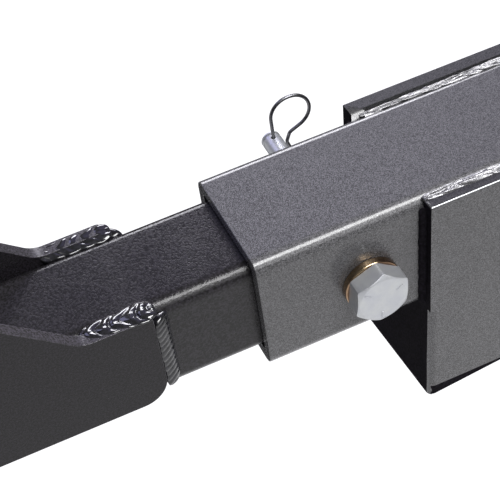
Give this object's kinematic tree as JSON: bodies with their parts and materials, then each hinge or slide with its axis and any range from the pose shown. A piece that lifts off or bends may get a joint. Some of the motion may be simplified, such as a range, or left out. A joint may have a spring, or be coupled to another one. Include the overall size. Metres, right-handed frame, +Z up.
{
  "type": "weight distribution hitch",
  "caption": "Bolt-on square receiver with a bolted shank, cheek plates, an adjustable ball head and two spring bars that swing.",
  "frame": {"origin": "centre of the flange plate's rear face, which is the centre of its four bolt holes", "axes": "+X out of the flange towards the vehicle, +Z up, so the shank, ball and spring bars reach towards -X"},
  "size_m": [1.1377, 0.213, 0.3126],
  "materials": {
    "graphite_coat": "metallic powder coat with a fine sparkle",
    "black_coat": "satin black powder coat, finely textured",
    "clear_zinc": "clear zinc plating",
    "yellow_zinc": "yellow zinc plating",
    "chrome_plate": "polished chrome",
    "spring_steel": "drawn spring wire",
    "bronze": "oiled bronze"
  },
  "bodies": {
    "root": {"ball_nut": "clear_zinc", "ball_platform": "black_coat", "ball_washer": "yellow_zinc", "bracket_weld_far": "graphite_coat", "bracket_weld_near": "graphite_coat", "cheek_plate_far": "black_coat", "cheek_plate_near": "black_coat", "flange_plate": "graphite_coat", "head_bolt_washers": "yellow_zinc", "head_bolts": "clear_zinc", "head_face_plate": "black_coat", "head_mast": "black_coat", "head_nuts": "clear_zinc", "hitch_ball": "chrome_plate", "pin_clips": "spring_steel", "platform_gussets": "black_coat", "receiver_bracket": "graphite_coat", "receiver_tube": "graphite_coat", "shank_tube": "black_coat", "side_weld_far": "black_coat", "side_weld_near": "black_coat", "top_weld_far": "black_coat", "top_weld_near": "black_coat", "trunnion_pins": "clear_zinc", "weld_nut": "clear_zinc", "yoke_lower_plate": "black_coat", "yoke_upper_plate": "black_coat", "yoke_web": "black_coat"},
    "bolt_washer": {"lock_washer": "yellow_zinc"},
    "hitch_bolt": {"hitch_bolt": "clear_zinc"},
    "hitch_clip": {"hitch_clip": "spring_steel"},
    "spring_bar_near": {"spring_bar_near": "black_coat", "eye_bushing_near": "bronze"},
    "spring_bar_far": {"spring_bar_far": "black_coat", "eye_bushing_far": "bronze"}
  },
  "joints": [
    {"name": "near_bar_swing", "type": "hinge", "parent": "root", "child": "spring_bar_near", "pos_m": [-0.4265, -0.057, 0.07225], "axis": [0, 0, 1], "range_deg": [0, 70]},
    {"name": "far_bar_swing", "type": "hinge", "parent": "root", "child": "spring_bar_far", "pos_m": [-0.4265, 0.057, 0.07225], "axis": [0, 0, 1], "range_deg": [-70, 0]},
    {"name": "bolt_back_off", "type": "slide", "parent": "root", "child": "bolt_washer", "axis": [0, -1, 0], "range_m": [0, 0.0115]},
    {"name": "bolt_turn", "type": "hinge", "parent": "bolt_washer", "child": "hitch_bolt", "pos_m": [-0.1404, 0, 0.02555], "axis": [0, -1, 0], "range_deg": [0, 1800]},
    {"name": "clip_pull", "type": "slide", "parent": "hitch_bolt", "child": "hitch_clip", "axis": [0, 0, 1], "range_m": [0, 0.025]}
  ],
  "couplings": [
    {"joint": "bolt_turn", "follows": "bolt_back_off", "rad_per_m": 2721.1}
  ]
}
